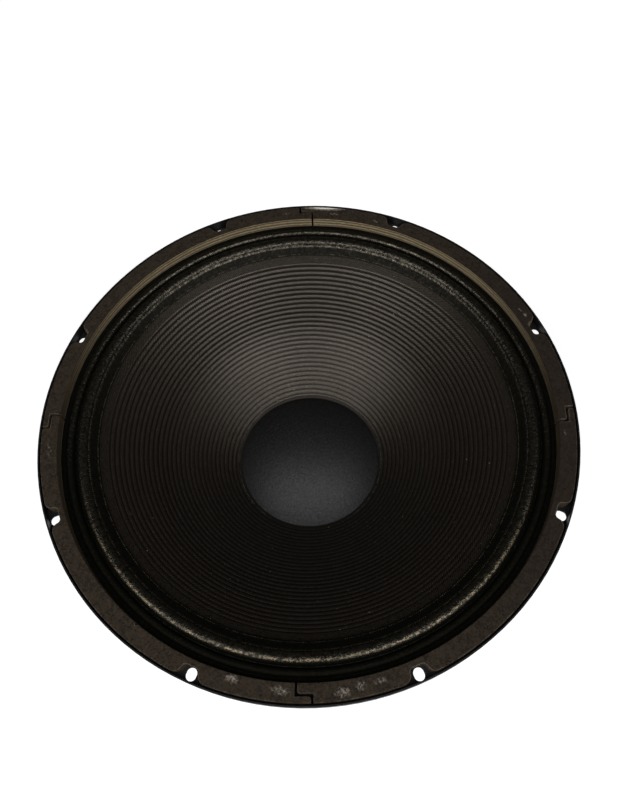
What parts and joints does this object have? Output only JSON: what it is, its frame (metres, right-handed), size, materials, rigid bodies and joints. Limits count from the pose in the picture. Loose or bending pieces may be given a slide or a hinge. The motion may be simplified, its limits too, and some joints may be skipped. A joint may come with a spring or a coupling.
{
  "type": "woofer",
  "caption": "Round moving-coil woofer: pressed steel basket with slotted rim, chipboard gasket, ribbed paper cone on a doped cloth surround, and a vented ferrite motor.",
  "frame": {"origin": "centre of the back plate's underside, on the driver's axis", "axes": "+Z along the driver's axis towards the front of the cone; the terminals are on the +Y side and the gasket's joints lie on X and Y"},
  "size_m": [0.3869, 0.387, 0.1684],
  "materials": {
    "basket": "black stove enamel on pressed steel",
    "gasket": "dark brown-grey chipboard, matte",
    "surround": "doped cloth, tacky sheen",
    "cone": "felted paper dyed black-brown, matte",
    "dust_cap": "smooth felted paper, matte",
    "glue": "dark cured adhesive",
    "cone_eyelets": "plain brass",
    "voice_coil_former": "kraft paper",
    "voice_coil_winding": "enamelled copper wire",
    "spider": "resin-stiffened cotton",
    "top_plate": "zinc plated",
    "magnet": "ground ferrite, matte",
    "back_plate": "zinc plated",
    "pole_piece": "zinc plated",
    "basket_rivets": "plated",
    "terminal_board": "paper-based phenolic board",
    "small_rivets": "tinned brass",
    "solder_lugs": "tinned brass",
    "solder_joints": "soft solder, bright",
    "leads": "braided copper tinsel on cotton"
  },
  "bodies": {
    "frame": {"basket": "basket", "gasket_segment_1": "gasket", "gasket_segment_2": "gasket", "gasket_segment_3": "gasket", "gasket_segment_4": "gasket", "surround": "surround", "spider": "spider", "top_plate": "top_plate", "magnet": "magnet", "back_plate": "back_plate", "pole_piece": "pole_piece", "basket_rivets": "basket_rivets", "terminal_board": "terminal_board", "board_rivets": "small_rivets", "solder_lug_left": "solder_lugs", "solder_lug_right": "solder_lugs", "lug_rivets": "small_rivets", "solder_joints": "solder_joints", "lead_left": "leads", "lead_right": "leads"},
    "moving_cone": {"cone": "cone", "dust_cap": "dust_cap", "dust_cap_glue": "glue", "neck_glue": "glue", "cone_eyelets": "cone_eyelets", "voice_coil_former": "voice_coil_former", "voice_coil_winding": "voice_coil_winding"}
  },
  "joints": [
    {"name": "cone_travel", "type": "slide", "parent": "frame", "child": "moving_cone", "axis": [0, 0, 1], "range_m": [-0.006, 0.006], "stiffness_N_per_m": 3500, "deforming": ["surround", "spider", "lead_left", "lead_right"]}
  ]
}
